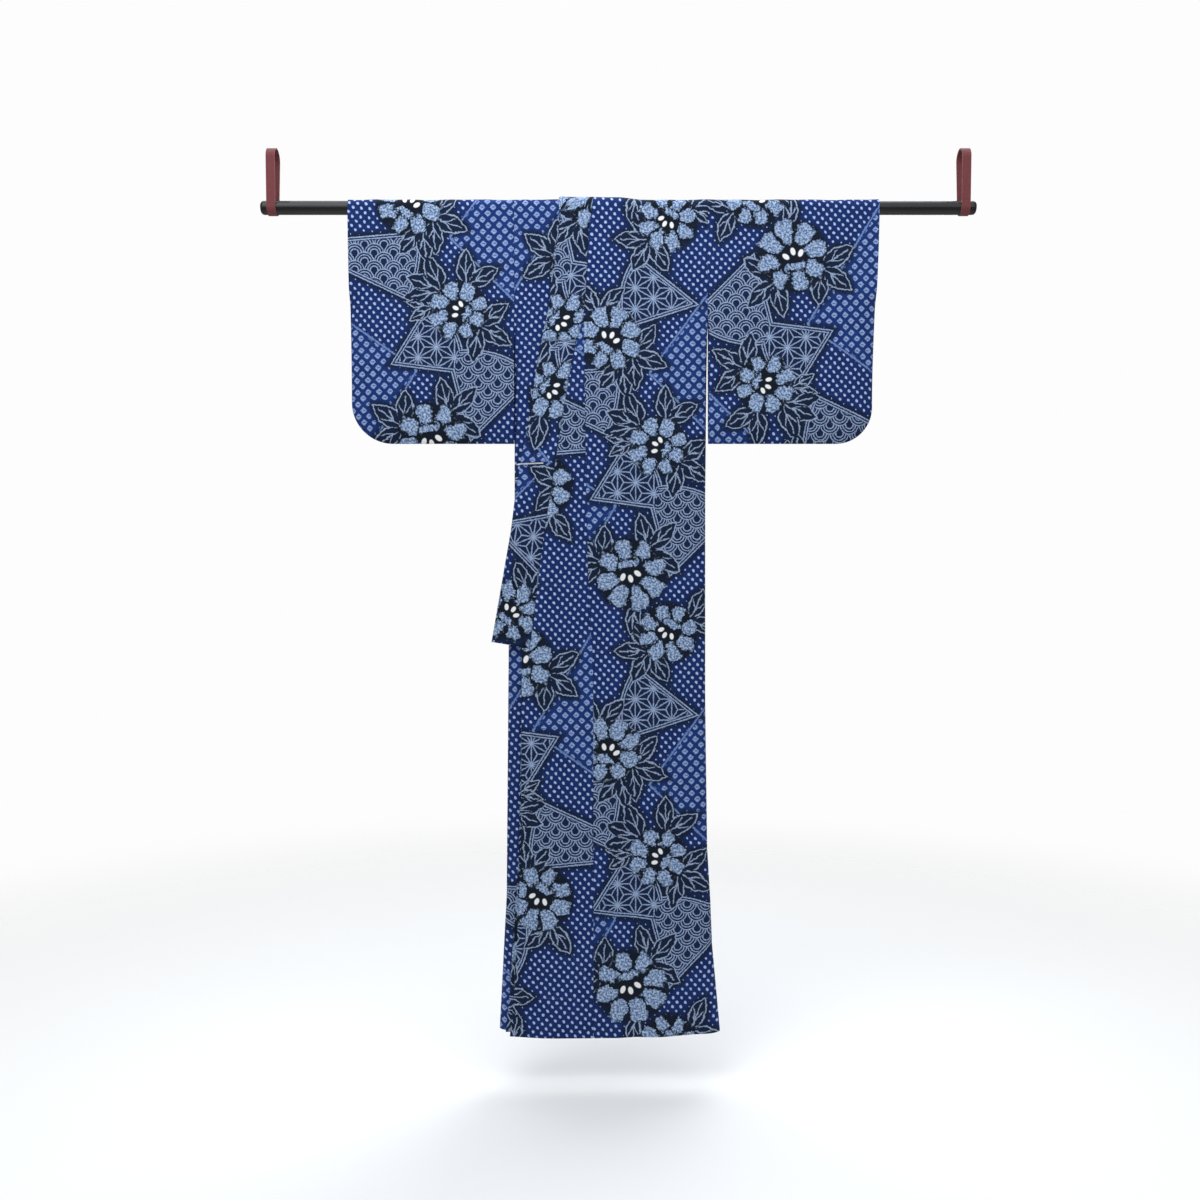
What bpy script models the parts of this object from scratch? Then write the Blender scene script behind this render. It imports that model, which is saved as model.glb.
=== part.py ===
"""Cotton yukata robe hung over a lacquered rod, which hangs in two strap loops.

Units are metres, +Z is up and the front of the robe faces -Y. The origin is
on the axis of the bar that carries the straps, midway between them.

The robe is folded as for airing: its left half lies in front, its right half
is folded under it at the centre back and turned back again at one pleat, so
that both sleeves spread along the rod. Three cloth layers lie on each other
there. A place on the cloth is told by x, along the rod, and by run, the
distance along the cloth from the rod's top, forwards above 0 and backwards
below 0.
"""

import math

import bmesh
import bpy

# The rod and its two strap loops
ROD_LENGTH = 1.468
ROD_RADIUS = 0.014
ROD_SIDES = 32
ROD_END_ROUNDING = 0.006
ROD_DEPTH = 0.100
STRAP_SPAN = 1.420
STRAP_WIDTH = 0.018
STRAP_WALL = 0.002
BAR_RADIUS = 0.0195
STRAP_ARC_STEPS = 12

# The cloth: wall, the gap kept between pieces, and the three stacked layers
CLOTH_WALL = 0.0012
COLLAR_WALL = 0.0016
GAP = 0.0003
HALF_SEAM = 0.0002
LAYER_LIFTS = (0.0006, 0.0031, 0.0058)
LAYER_SPREAD = 0.0020
SPREAD_START = 0.05
SPREAD_END = 0.40

# Where the cloth bends over the rod
BEND_RADIUS = ROD_RADIUS + GAP
QUARTER_TURN = BEND_RADIUS * math.pi / 2
QUARTER_STEPS = 5

# Cut and sewn sizes, as x along the rod or as drop below the rod's axis
FOLD_X = -0.0153
CENTRE_BACK_X = -0.1192
NECK_POINT_X = -0.0479
BACK_NECK_RUN = -0.020
OKUMI_TIP_DROP = 0.231
COLLAR_END_DROP = 0.9037
COLLAR_FREE_END_DROP = 0.8915
COLLAR_TURN_DROP = 0.0125
ARMHOLE_DROP = 0.231
SIDE_OPENING_DROP = 0.350
HEM_DROP = 1.697
UNDER_HEM_DROP = 1.690
HEM_RISE = 0.007
HEM_RISE_START = 1.2
HEM_MIDDLE_X = -0.030
HEM_HALF_WIDTH = 0.230
SLEEVE_SEAM_DROP = 0.2107
SLEEVE_SLIT_DROP = 0.2600
SLEEVE_SLIT = 0.002
SLEEVE_DROP = 0.4848
CUFF_DROP = 0.2075
CUFF_CLOSING = 0.0475
EDGE_ROUNDING = 0.035
SLEEVE_ROUNDING = 0.050

# Rows of the cloth below the rod, as drops
BODY_ROWS = (0.05, 0.14, 0.231, 0.29, 0.35, 0.45, 0.56, 0.67, 0.79,
             0.9037, 1.02, 1.14, 1.26, 1.38, 1.50, 1.61, 1.697)
SLEEVE_ROWS = (0.05, 0.10, 0.16, 0.19, 0.2075, 0.26, 0.33)

# Columns near an edge, as distances from it
EDGE_COLUMNS = (0.035, 0.015, 0.006, 0.0015, 0.0)
SLEEVE_EDGE_COLUMNS = (0.050, 0.020, 0.008, 0.002, 0.0)

# Half of the space between front and back cloth: drop, half space
BODY_SPACE = ((0.0, 0.0143), (0.21, 0.0115), (0.8, 0.0105), (1.3, 0.0125), (1.70, 0.0170))
SLEEVE_SPACE = ((0.0, 0.0143), (0.21, 0.0115), (0.4848, 0.0079))

# Edges of the pieces: drop, x
NECK_EDGE = ((0.0, -0.0530), (0.05, -0.0610), (0.14, -0.0642), (0.231, -0.0713))
OKUMI_SEAM = ((0.231, -0.0713), (0.40, -0.0683), (0.56, -0.0662), (0.69, -0.0642),
              (0.85, -0.0581), (0.93, -0.0515), (1.70, -0.0510))
OKUMI_COLLAR_SEAM = ((0.231, -0.0713), (0.30, -0.0915), (0.45, -0.1170), (0.56, -0.1345),
                     (0.69, -0.1545), (0.79, -0.1665), (0.9037, -0.1805))
OKUMI_FREE_EDGE = ((0.9037, -0.1970), (1.336, -0.1988), (1.62, -0.2130), (1.70, -0.2212))
COLLAR_FREE_EDGE = ((0.0125, -0.1165), (0.111, -0.1294), (0.213, -0.1431), (0.313, -0.1641),
                    (0.402, -0.1767), (0.580, -0.2089), (0.663, -0.2191), (0.8915, -0.2587))
RIGHT_SIDE_EDGE = ((0.0, -0.2130), (0.655, -0.2130), (0.80, -0.2205), (0.904, -0.2252),
                   (1.418, -0.2293), (1.70, -0.2436))
LEFT_SIDE_EDGE = ((0.0, 0.1824), (0.20, 0.1824), (0.60, 0.1784), (1.01, 0.1784),
                  (1.316, 0.1824), (1.418, 0.1886), (1.52, 0.1926), (1.70, 0.2089))

# Sleeves: side of the robe, x at the shoulder, x of the cuff, taper, corner radius
SLEEVES = (("sleeve_right", -0.2130, -0.5535, 0.0062, 0.085),
           ("sleeve_left", 0.1824, 0.5331, -0.0120, 0.075))

# Soft folds that grow to the hem: x, half width, height outwards
FRONT_FOLDS = ((-0.150, 0.045, 0.0040), (-0.020, 0.050, -0.0030),
               (0.080, 0.040, 0.0060), (0.160, 0.030, -0.0020))
BACK_FOLDS = ((-0.160, 0.050, 0.0050), (-0.060, 0.050, -0.0030),
              (0.045, 0.045, 0.0060), (0.135, 0.040, -0.0030))
FOLD_GROWTH = 1.5

NAVY = (0.020, 0.035, 0.130, 1.0)
LACQUER = (0.006, 0.006, 0.007, 1.0)
STRAP_RED = (0.230, 0.020, 0.025, 1.0)


def material(name, colour, roughness):
    made = bpy.data.materials.new(name)
    made.use_nodes = True
    shader = made.node_tree.nodes["Principled BSDF"]
    shader.inputs["Base Color"].default_value = colour
    shader.inputs["Roughness"].default_value = roughness
    shader.inputs["Metallic"].default_value = 0.0
    return made


def smooth(start, end, value):
    """0 before start, 1 after end, and a soft step between them."""
    t = min(max((value - start) / (end - start), 0.0), 1.0)
    return t * t * (3 - 2 * t)


def mix(a, b, share):
    return a + (b - a) * share


def read(table, drop):
    """The value of a table at a drop, in straight lines between its rows."""
    if drop <= table[0][0]:
        return table[0][1]
    for (low, at_low), (high, at_high) in zip(table, table[1:]):
        if drop <= high:
            return mix(at_low, at_high, (drop - low) / (high - low))
    return table[-1][1]


def rounded(distance, width):
    """How far a flat tube is open at a distance from its closed edge."""
    inner = 1 - min(distance / width, 1.0)
    return math.sqrt(max(1 - inner * inner, 0.0))


def run_of(drop):
    return QUARTER_TURN + drop


def runs(rows):
    """Rows from the back hem over the rod to the front hem."""
    turn = [QUARTER_TURN * step / QUARTER_STEPS for step in range(QUARTER_STEPS + 1)]
    front = turn + [run_of(drop) for drop in rows]
    return [-run for run in reversed(front[1:])] + front


def drop_of(run):
    return max(abs(run) - QUARTER_TURN, 0.0)


def lift(layer, drop):
    """Height of a layer's middle over the cloth's inmost face."""
    return LAYER_LIFTS[layer] + layer * LAYER_SPREAD * smooth(SPREAD_START, SPREAD_END, drop)


def folds(x, run):
    """The soft folds' push outwards, which grows towards the hem."""
    growth = (drop_of(run) / HEM_DROP) ** FOLD_GROWTH
    table = FRONT_FOLDS if run > 0 else BACK_FOLDS
    return growth * sum(height * math.exp(-((x - centre) / width) ** 2)
                        for centre, width, height in table)


def hang(x, run, height, space, push=0.0, opened=1.0):
    """A point of the cloth in space, over the rod or hanging from it."""
    outward = -1 if run >= 0 else 1
    arc = abs(run)
    if arc < QUARTER_TURN:
        angle = arc / BEND_RADIUS
        radius = BEND_RADIUS + height
        return (x, outward * radius * math.sin(angle), radius * math.cos(angle) - ROD_DEPTH)
    drop = drop_of(run)
    y = (read(space, drop) + height + push) * opened
    return (x, outward * y, -drop - ROD_DEPTH)


def body_point(x, run, height, opened=1.0, hem=HEM_DROP):
    """A point of the body, with its folds and its slightly bowed hem."""
    drop = drop_of(run)
    bow = HEM_RISE * ((x - HEM_MIDDLE_X) / HEM_HALF_WIDTH) ** 2
    rise = (HEM_DROP - hem + bow) * smooth(HEM_RISE_START, HEM_DROP, drop)
    toward = 1 if run >= 0 else -1
    lifted = run - toward * rise if drop > 0 else run
    return hang(x, lifted, height, BODY_SPACE, folds(x, run), opened)


def cloth_object(name, columns, rows, place, wall, cloth, collection):
    """A grid of columns by rows, put in place point by point and given a wall."""
    mesh = bpy.data.meshes.new(name)
    grid = bmesh.new()
    bmesh.ops.create_grid(grid, x_segments=columns - 1, y_segments=len(rows) - 1, size=0.5)
    for vertex in grid.verts:
        column = round((vertex.co.x + 0.5) * (columns - 1))
        row = round((vertex.co.y + 0.5) * (len(rows) - 1))
        vertex.co = place(column, rows[row])
    bmesh.ops.remove_doubles(grid, verts=grid.verts, dist=0.00001)
    bmesh.ops.recalc_face_normals(grid, faces=grid.faces)
    grid.to_mesh(mesh)
    grid.free()
    mesh.shade_smooth()
    mesh.materials.append(cloth)
    piece = bpy.data.objects.new(name, mesh)
    collection.objects.link(piece)
    shell = piece.modifiers.new("wall", "SOLIDIFY")
    shell.thickness = wall
    shell.offset = 0.0
    shell.use_even_offset = True
    return piece


def body_inner_edge(run, gap):
    """x of the edge that meets the collar, the okumi or the other back.

    The gap is kept in front, where the edge runs down along its neighbour.
    """
    drop = drop_of(run)
    if run < 0:
        share = min(run / BACK_NECK_RUN, 1.0)
        return mix(NECK_POINT_X, CENTRE_BACK_X, share)
    if drop == 0:
        return mix(NECK_POINT_X, NECK_EDGE[0][1], run / QUARTER_TURN) + gap
    if drop <= OKUMI_TIP_DROP:
        return read(NECK_EDGE, drop) + gap
    return read(OKUMI_SEAM, drop) + gap


def side_opened(distance, drop):
    """Front and back lie apart down to the armhole and meet below it."""
    closing = smooth(ARMHOLE_DROP, SIDE_OPENING_DROP, drop)
    return mix(1.0, rounded(distance, EDGE_ROUNDING), closing)


INNER_SHARES = (0.0, 0.18, 0.45, 0.72)
LEFT_COLUMNS = (-0.008, 0.010, 0.028, 0.050, 0.080, 0.112)
STEP_START = -0.008
STEP_END = 0.045
BACK_SEAM_WIDTH = 0.030
BACK_SEAM_START = 0.030
BACK_SEAM_END = 0.070


def left_height(x, run):
    """The left half lies on the pleat, and next to the rod beside it."""
    drop = drop_of(run)
    on_pleat = 1 - smooth(STEP_START, STEP_END, x)
    height = mix(lift(0, drop), lift(2, drop), on_pleat)
    if run < 0:
        seam = 1 - smooth(CENTRE_BACK_X, CENTRE_BACK_X + BACK_SEAM_WIDTH, x)
        seam *= smooth(BACK_SEAM_START, BACK_SEAM_END, -run)
        height = mix(height, lift(1, drop) + CLOTH_WALL + GAP, seam)
    return height


def body_left(cloth, collection):
    """Left front and back in one length, from the side seam to the okumi."""
    count = len(INNER_SHARES) + len(LEFT_COLUMNS) + len(EDGE_COLUMNS)

    def place(column, run):
        drop = drop_of(run)
        inner = body_inner_edge(run, HALF_SEAM)
        side = read(LEFT_SIDE_EDGE, drop) - HALF_SEAM
        if column < len(INNER_SHARES):
            x = mix(inner, LEFT_COLUMNS[0], INNER_SHARES[column])
        elif column < len(INNER_SHARES) + len(LEFT_COLUMNS):
            x = LEFT_COLUMNS[column - len(INNER_SHARES)]
        else:
            x = side - EDGE_COLUMNS[column - count]
        return body_point(x, run, left_height(x, run), side_opened(side - x, drop))

    return cloth_object("body_left", count, runs(BODY_ROWS), place, CLOTH_WALL, cloth, collection)


TURN_STEPS = 4
RIGHT_INNER_SHARES = (0.0, 0.18, 0.50)
RIGHT_COLUMNS = (-0.048, -0.082, -0.116, -0.150)


def body_right(cloth, collection):
    """Right front and back in one length, turned back on itself at the pleat."""
    inner_count = len(RIGHT_INNER_SHARES)
    turn_count = TURN_STEPS + 1
    count = inner_count + turn_count + len(RIGHT_COLUMNS) + len(EDGE_COLUMNS)

    def place(column, run):
        drop = drop_of(run)
        inner = body_inner_edge(run, HALF_SEAM)
        side = read(RIGHT_SIDE_EDGE, drop) + HALF_SEAM
        bend = (lift(1, drop) - lift(0, drop)) / 2
        centre = FOLD_X - bend
        height = lift(0, drop)
        if column < inner_count:
            x = mix(inner, centre, RIGHT_INNER_SHARES[column])
            height = lift(1, drop)
        elif column < inner_count + turn_count:
            angle = math.pi * (column - inner_count) / TURN_STEPS
            x = centre + bend * math.sin(angle)
            height = lift(0, drop) + bend * (1 + math.cos(angle))
        elif column < count - len(EDGE_COLUMNS):
            x = RIGHT_COLUMNS[column - inner_count - turn_count]
        else:
            x = side + EDGE_COLUMNS[column - count]
        return body_point(x, run, height, side_opened(x - side, drop), UNDER_HEM_DROP)

    return cloth_object("body_right", count, runs(BODY_ROWS), place, CLOTH_WALL, cloth,
                        collection)


OKUMI_COLUMNS = 5
OKUMI_TIP_ROW = 0.2400
UNDER_OKUMI_SHOWS = 0.009


def okumi(name, layer, hem, shows, cloth, collection):
    """The narrow front panel between a front and the collar.

    Its free edge reaches further out by shows at the hem, as the under one does.
    """
    rows = [run_of(OKUMI_TIP_ROW)]
    rows += [run_of(drop) for drop in BODY_ROWS if drop > OKUMI_TIP_ROW]

    def place(column, run):
        drop = drop_of(run)
        seam = read(OKUMI_SEAM, drop) - HALF_SEAM
        collared = drop <= COLLAR_END_DROP
        outer = read(OKUMI_COLLAR_SEAM if collared else OKUMI_FREE_EDGE, drop) + HALF_SEAM
        outer -= shows * smooth(COLLAR_END_DROP, HEM_DROP, drop)
        x = mix(outer, seam, column / (OKUMI_COLUMNS - 1))
        return body_point(x, run, lift(layer, drop), 1.0, hem)

    return cloth_object(name, OKUMI_COLUMNS, rows, place, CLOTH_WALL, cloth, collection)


COLLAR_COLUMNS = 12
COLLAR_ROWS = (0.05, 0.095, 0.14, 0.185, 0.231, 0.29, 0.35, 0.45, 0.56, 0.67, 0.79, 0.9037)
SHOULDER_SHARES = (1.0, 0.75, 0.5, 0.25, 0.0)
NECK_SHARES = (0.25, 0.5, 0.75, 1.0)
COLLAR_FREE_SHARE = COLLAR_FREE_END_DROP / COLLAR_END_DROP


def collar_line():
    """Ends of the lines across one half of the collar, from its end to the back.

    Each line has the x and run of its sewn edge, then of its free edge.
    """
    lines = []
    for drop in reversed((COLLAR_TURN_DROP,) + COLLAR_ROWS):
        seam = NECK_EDGE if drop <= OKUMI_TIP_DROP else OKUMI_COLLAR_SEAM
        free = drop * COLLAR_FREE_SHARE
        lines.append((read(seam, drop), run_of(drop), read(COLLAR_FREE_EDGE, free), run_of(free)))
    free_x = lines[-1][2]
    free_run = run_of(COLLAR_TURN_DROP)
    for share in SHOULDER_SHARES:
        lines.append((body_inner_edge(QUARTER_TURN * share, 0.0), QUARTER_TURN * share,
                      free_x, free_run))
    for share in NECK_SHARES:
        lines.append((mix(NECK_POINT_X, CENTRE_BACK_X, share), BACK_NECK_RUN * share,
                      mix(free_x, CENTRE_BACK_X, share), free_run))
    return lines


def collar(cloth, collection):
    """One long band, folded in half at the centre back, left half on top."""
    half = collar_line()
    turn = [(angle, half[-1]) for angle in (math.pi * step / TURN_STEPS
                                            for step in range(1, TURN_STEPS))]
    lines = [(0.0, line) for line in half] + turn + [(math.pi, line) for line in reversed(half)]

    def place(column, line):
        angle, (sewn_x, sewn_run, free_x, free_run) = line
        share = column / (COLLAR_COLUMNS - 1)
        x = mix(sewn_x - 2 * HALF_SEAM, free_x, share)
        run = mix(sewn_run + 2 * HALF_SEAM, free_run, share)
        drop = drop_of(run)
        bend = (lift(2, drop) - lift(1, drop)) / 2
        height = lift(1, drop) + bend * (1 + math.cos(angle))
        return body_point(x - bend * math.sin(angle), run, height)

    return cloth_object("collar", COLLAR_COLUMNS, lines, place, COLLAR_WALL, cloth, collection)


SLEEVE_INNER_SHARES = (0.0, 0.25, 0.5, 0.75, 1.0)
CORNER_ANGLES = (0, 20, 40, 60, 75, 90)


def sleeve(name, shoulder_x, cuff_x, taper, corner, cloth, collection):
    """A flat tube over the rod, open at the cuff and below the armhole seam."""
    outward = 1 if cuff_x > shoulder_x else -1
    corner_drop = SLEEVE_DROP - corner
    rows = list(SLEEVE_ROWS)
    rows += [corner_drop + corner * math.sin(math.radians(angle)) for angle in CORNER_ANGLES]
    count = len(SLEEVE_INNER_SHARES) + len(SLEEVE_EDGE_COLUMNS) - 1

    def outer_edge(drop):
        edge = cuff_x + taper * smooth(0.0, corner_drop, drop)
        if drop > corner_drop:
            depth = min((drop - corner_drop) / corner, 1.0)
            edge -= outward * corner * (1 - math.sqrt(1 - depth * depth))
        return edge

    def place(column, run):
        drop = drop_of(run)
        outer = outer_edge(drop)
        slit = SLEEVE_SLIT * smooth(SLEEVE_SEAM_DROP, SLEEVE_SLIT_DROP, drop)
        inner = shoulder_x + outward * (HALF_SEAM + slit)
        body_side = outer - outward * SLEEVE_EDGE_COLUMNS[0]
        if column < len(SLEEVE_INNER_SHARES):
            x = mix(inner, body_side, SLEEVE_INNER_SHARES[column])
        else:
            x = outer - outward * SLEEVE_EDGE_COLUMNS[column - count]
        closing = smooth(CUFF_DROP - CUFF_CLOSING, CUFF_DROP, drop)
        opened = mix(1.0, rounded(abs(outer - x), SLEEVE_ROUNDING), closing)
        opened *= rounded(SLEEVE_DROP - drop, SLEEVE_ROUNDING)
        return hang(x, run, lift(0, drop), SLEEVE_SPACE, 0.0, opened)

    return cloth_object(name, count, runs(rows), place, CLOTH_WALL, cloth, collection)


def rod(lacquer, collection):
    bpy.ops.mesh.primitive_cylinder_add(
        vertices=ROD_SIDES, radius=ROD_RADIUS, depth=ROD_LENGTH,
        location=(0, 0, -ROD_DEPTH), rotation=(0, math.pi / 2, 0))
    made = bpy.context.object
    made.name = "rod"
    for other in made.users_collection:
        other.objects.unlink(made)
    collection.objects.link(made)
    made.data.materials.append(lacquer)
    rounding = made.modifiers.new("rounded ends", "BEVEL")
    rounding.width = ROD_END_ROUNDING
    rounding.segments = 3
    rounding.limit_method = "ANGLE"
    rounding.angle_limit = math.radians(60)
    made.data.shade_smooth()
    return made


def belt_outline(wall):
    """A belt round the bar above and the rod below, at a wall's distance."""
    lean = math.asin((BAR_RADIUS - ROD_RADIUS) / ROD_DEPTH)
    top = BAR_RADIUS + wall
    bottom = ROD_RADIUS + GAP + wall
    points = []
    for step in range(STRAP_ARC_STEPS + 1):
        angle = lean + (math.pi - 2 * lean) * step / STRAP_ARC_STEPS
        points.append((top * math.cos(angle), top * math.sin(angle)))
    for step in range(STRAP_ARC_STEPS + 1):
        angle = math.pi - lean + (math.pi + 2 * lean) * step / STRAP_ARC_STEPS
        points.append((bottom * math.cos(angle), bottom * math.sin(angle) - ROD_DEPTH))
    return points


def strap(name, x, red, collection):
    """A flat strap loop from the bar above down under the rod."""
    curve = bpy.data.curves.new(name, "CURVE")
    curve.dimensions = "2D"
    curve.fill_mode = "BOTH"
    curve.extrude = STRAP_WIDTH / 2
    for wall in (STRAP_WALL, 0.0):
        outline = belt_outline(wall)
        spline = curve.splines.new("POLY")
        spline.points.add(len(outline) - 1)
        for point, (across, up) in zip(spline.points, outline):
            point.co = (across, up, 0, 1)
        spline.use_cyclic_u = True
    curve.materials.append(red)
    made = bpy.data.objects.new(name, curve)
    made.rotation_euler = (math.pi / 2, 0, math.pi / 2)
    made.location = (x, 0, 0)
    collection.objects.link(made)
    return made


def main():
    for old in list(bpy.data.objects):
        bpy.data.objects.remove(old, do_unlink=True)
    collection = bpy.data.collections.new("yukata_on_rod")
    bpy.context.scene.collection.children.link(collection)

    cotton = material("printed cotton", NAVY, 0.85)
    lacquer = material("black lacquer", LACQUER, 0.12)
    red = material("red strap", STRAP_RED, 0.70)

    rod(lacquer, collection)
    strap("strap_left", STRAP_SPAN / 2, red, collection)
    strap("strap_right", -STRAP_SPAN / 2, red, collection)
    body_left(cotton, collection)
    body_right(cotton, collection)
    okumi("okumi_left", 2, HEM_DROP, 0.0, cotton, collection)
    okumi("okumi_right", 1, UNDER_HEM_DROP, UNDER_OKUMI_SHOWS, cotton, collection)
    collar(cotton, collection)
    for name, shoulder_x, cuff_x, taper, corner in SLEEVES:
        sleeve(name, shoulder_x, cuff_x, taper, corner, cotton, collection)


main()
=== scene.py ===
import math

import bmesh
import bpy
import mathutils
import numpy as np
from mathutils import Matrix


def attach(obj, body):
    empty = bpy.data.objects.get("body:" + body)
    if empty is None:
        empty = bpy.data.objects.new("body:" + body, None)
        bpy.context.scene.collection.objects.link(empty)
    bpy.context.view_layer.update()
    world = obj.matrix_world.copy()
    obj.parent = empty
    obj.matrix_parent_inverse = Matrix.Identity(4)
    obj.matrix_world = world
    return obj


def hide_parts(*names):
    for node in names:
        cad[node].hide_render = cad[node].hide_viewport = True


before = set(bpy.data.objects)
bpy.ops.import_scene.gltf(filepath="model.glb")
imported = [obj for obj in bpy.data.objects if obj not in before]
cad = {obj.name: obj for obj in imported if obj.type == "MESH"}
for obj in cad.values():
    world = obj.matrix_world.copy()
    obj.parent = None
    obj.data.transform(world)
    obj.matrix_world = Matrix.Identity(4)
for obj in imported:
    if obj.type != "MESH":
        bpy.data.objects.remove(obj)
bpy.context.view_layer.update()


# The view

# The robe is seen straight from the front, from the height of its middle, by
# a camera that stands level about two and a third metres away.

CAMERA_PLACE = (-0.0377, -2.35, -0.9059)
CAMERA_LENS = 34.3
SENSOR_WIDTH = 36

camera = bpy.data.objects.new("camera", bpy.data.cameras.new("camera"))
bpy.context.scene.collection.objects.link(camera)
camera.location = CAMERA_PLACE
camera.rotation_euler = (math.radians(90), 0, 0)
camera.data.lens = CAMERA_LENS
camera.data.sensor_width = SENSOR_WIDTH
bpy.context.scene.camera = camera
bpy.context.scene.view_settings.view_transform = "Standard"


# The room

# A plain pale studio: a round white floor that fades into the white round it,
# so that every side has the same ground, with soft light above and around.

FLOOR_Z = -1.90
FLOOR_RADIUS = 3.2
FLOOR_FADE = (0.5, 3.1)
UPPER_ROBE = (0, 0, -0.2)
AIR_STRENGTH = 0.36


def ink(red, green, blue):
    """A colour as the eye sees it, from 0 to 255, made linear for a shader."""
    parts = [part / 255 for part in (red, green, blue)]
    return tuple(p / 12.92 if p <= 0.04045 else ((p + 0.055) / 1.055) ** 2.4 for p in parts) + (1,)


def in_scene(name, mesh):
    piece = bpy.data.objects.new(name, mesh)
    bpy.context.scene.collection.objects.link(piece)
    return piece


board = bpy.data.materials.new("white floor")
board.use_nodes = True
nodes, links = board.node_tree.nodes, board.node_tree.links
nodes["Principled BSDF"].inputs["Base Color"].default_value = ink(246, 247, 248)
nodes["Principled BSDF"].inputs["Roughness"].default_value = 0.75
nodes["Principled BSDF"].inputs["Specular IOR Level"].default_value = 0.1
coordinates = nodes.new("ShaderNodeTexCoord")
flat = nodes.new("ShaderNodeVectorMath")
flat.operation = "MULTIPLY"
flat.inputs[1].default_value = (1, 1, 0)
links.new(coordinates.outputs["Object"], flat.inputs[0])
away = nodes.new("ShaderNodeVectorMath")
away.operation = "LENGTH"
links.new(flat.outputs[0], away.inputs[0])
fade = nodes.new("ShaderNodeMapRange")
fade.interpolation_type = "SMOOTHSTEP"
fade.inputs["From Min"].default_value, fade.inputs["From Max"].default_value = FLOOR_FADE
links.new(away.outputs["Value"], fade.inputs["Value"])
blend = nodes.new("ShaderNodeMixShader")
links.new(fade.outputs["Result"], blend.inputs[0])
links.new(nodes["Principled BSDF"].outputs[0], blend.inputs[1])
links.new(nodes.new("ShaderNodeBsdfTransparent").outputs[0], blend.inputs[2])
links.new(blend.outputs[0], nodes["Material Output"].inputs["Surface"])

disc = bmesh.new()
bmesh.ops.create_circle(disc, cap_ends=True, segments=96, radius=FLOOR_RADIUS)
bmesh.ops.translate(disc, verts=disc.verts, vec=(0, 0, FLOOR_Z))
disc_mesh = bpy.data.meshes.new("floor")
disc.to_mesh(disc_mesh)
disc.free()
disc_mesh.materials.append(board)
in_scene("floor", disc_mesh)

# Lamps: place, the place each is aimed at, width and power
LAMPS = (("key lamp", (-0.8, -1.5, 1.00), UPPER_ROBE, 2.0, 36),
         ("side lamp", (1.1, -1.7, 0.80), UPPER_ROBE, 2.0, 15),
         ("rear lamp", (0.8, 1.5, 1.00), UPPER_ROBE, 2.0, 36),
         ("rear side lamp", (-1.1, 1.7, 0.80), UPPER_ROBE, 2.0, 15),
         ("top lamp", (0.0, 0.0, 1.5), (0, 0, FLOOR_Z), 2.6, 40))

for name, place, aim, width, power in LAMPS:
    lamp = bpy.data.lights.new(name, "AREA")
    lamp.shape = "DISK"
    lamp.size = width
    lamp.energy = power
    lamp.color = ink(244, 249, 255)[:3]
    lamp_object = bpy.data.objects.new(name, lamp)
    lamp_object.location = place
    towards = mathutils.Vector(aim) - mathutils.Vector(place)
    lamp_object.rotation_euler = towards.to_track_quat("-Z", "Y").to_euler()
    bpy.context.scene.collection.objects.link(lamp_object)

# The white that is seen round the floor is brighter than the light from there
world = bpy.data.worlds.new("studio air")
bpy.context.scene.world = world
world.use_nodes = True
nodes, links = world.node_tree.nodes, world.node_tree.links
air = nodes["Background"]
air.inputs["Color"].default_value = ink(250, 246, 238)
air.inputs["Strength"].default_value = AIR_STRENGTH
white = nodes.new("ShaderNodeBackground")
white.inputs["Color"].default_value = ink(253, 253, 253)
seen = nodes.new("ShaderNodeMixShader")
links.new(nodes.new("ShaderNodeLightPath").outputs["Is Camera Ray"], seen.inputs[0])
links.new(air.outputs[0], seen.inputs[1])
links.new(white.outputs[0], seen.inputs[2])
links.new(seen.outputs[0], nodes["World Output"].inputs["Surface"])


# The rod

# A turned wooden rod in glossy black lacquer. The lacquer is brushed on in
# many coats, so that it is smooth, with faint waves along the rod.

BRUSH_SCALE = 90
BRUSH_STRETCH = 0.12


class Measure:
    """A value in a material, on which ordinary arithmetic makes the nodes."""

    def __init__(self, tree, socket):
        self.tree = tree
        self.socket = socket

    def made(self, operation, *others, clamp=False):
        node = self.tree.nodes.new("ShaderNodeMath")
        node.operation = operation
        node.use_clamp = clamp
        for entry, value in zip(node.inputs, (self,) + others):
            if isinstance(value, Measure):
                self.tree.links.new(value.socket, entry)
            else:
                entry.default_value = value
        return Measure(self.tree, node.outputs[0])

    def __add__(self, other):
        return self.made("ADD", other)

    def __sub__(self, other):
        return self.made("SUBTRACT", other)

    def __mul__(self, other):
        return self.made("MULTIPLY", other)

    def __truediv__(self, other):
        return self.made("DIVIDE", other)

    def times_plus(self, factor, plus, clamp=False):
        return self.made("MULTIPLY_ADD", factor, plus, clamp=clamp)

    def under(self, limit, softness):
        """1 where the value is under the limit and 0 over it, with a soft edge."""
        if isinstance(limit, Measure):
            return (limit - self).times_plus(0.5 / softness, 0.5, clamp=True)
        return self.times_plus(-0.5 / softness, 0.5 + limit * 0.5 / softness, clamp=True)

    def size(self):
        return self.made("ABSOLUTE")

    def least(self, other):
        return self.made("MINIMUM", other)

    def most(self, other):
        return self.made("MAXIMUM", other)


def parts_of(tree, vector):
    node = tree.nodes.new("ShaderNodeSeparateXYZ")
    tree.links.new(vector, node.inputs[0])
    return [Measure(tree, socket) for socket in node.outputs]


def joined(tree, *parts):
    node = tree.nodes.new("ShaderNodeCombineXYZ")
    for entry, value in zip(node.inputs, parts):
        if isinstance(value, Measure):
            tree.links.new(value.socket, entry)
        else:
            entry.default_value = value
    return node.outputs[0]


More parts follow.
